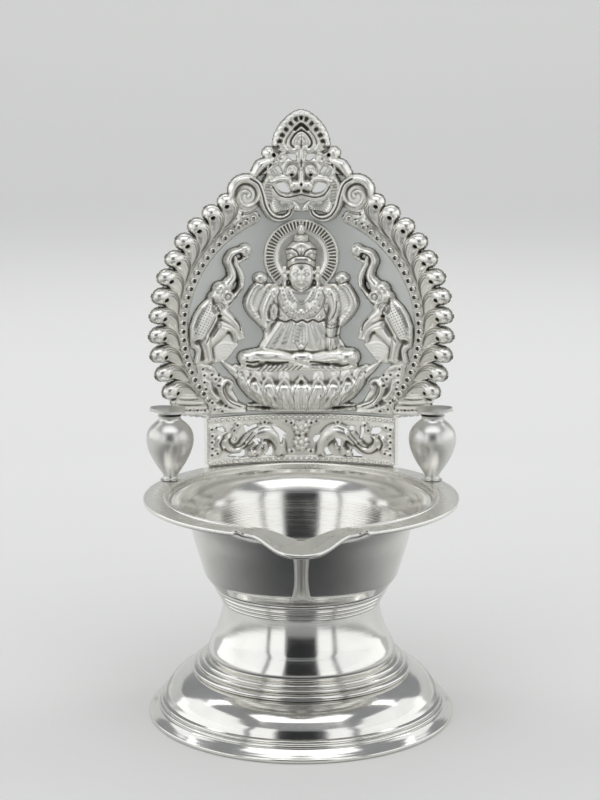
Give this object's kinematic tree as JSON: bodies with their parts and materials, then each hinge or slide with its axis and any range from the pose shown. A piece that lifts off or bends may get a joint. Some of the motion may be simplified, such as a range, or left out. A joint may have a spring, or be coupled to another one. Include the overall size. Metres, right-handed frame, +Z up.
{
  "type": "oil_lamp",
  "caption": "Silver kamakshi oil lamp: spun foot, waist and bowl, a rim with a wick lip, two vase pillars and a curved struck back plate with a seated goddess.",
  "frame": {"origin": "on the floor, below the middle of the lamp's box", "axes": "+Z up, -Y towards the wick lip at the front, +X to the right of a viewer who faces the front"},
  "size_m": [0.0646, 0.0676, 0.1219],
  "materials": {
    "polished_silver": "polished silver, mirror bright, with fine turning lines",
    "struck_silver": "struck silver relief, bright on the high points and whitened in the recesses",
    "satin_silver": "satin silver sheet behind the figures"
  },
  "bodies": {
    "root": {"foot": "polished_silver", "stepped_ring": "polished_silver", "waist": "polished_silver", "collar": "polished_silver", "bowl": "polished_silver", "rim_plate": "polished_silver", "opening_bead": "polished_silver", "wick_rib": "polished_silver", "back_sheet": "satin_silver", "vase_pillar_left": "polished_silver", "leaf_cap_left": "polished_silver", "folded_edge_left": "struck_silver", "vase_pillar_right": "polished_silver", "leaf_cap_right": "polished_silver", "folded_edge_right": "struck_silver", "goddess": "struck_silver", "lotus_seat": "struck_silver", "halo": "struck_silver", "elephant_left": "struck_silver", "elephant_right": "struck_silver", "panel_rail_bottom": "struck_silver", "panel_rail_top": "struck_silver", "lower_panel": "struck_silver", "finial": "struck_silver", "scroll_left": "struck_silver", "scroll_right": "struck_silver", "lion_mask": "struck_silver", "crest_lobes_left": "struck_silver", "pearl_row_left": "struck_silver", "petal_border_left": "struck_silver", "foliage_left": "struck_silver", "ear_left": "struck_silver", "crest_lobes_right": "struck_silver", "pearl_row_right": "struck_silver", "petal_border_right": "struck_silver", "foliage_right": "struck_silver", "ear_right": "struck_silver"}
  },
  "joints": []
}
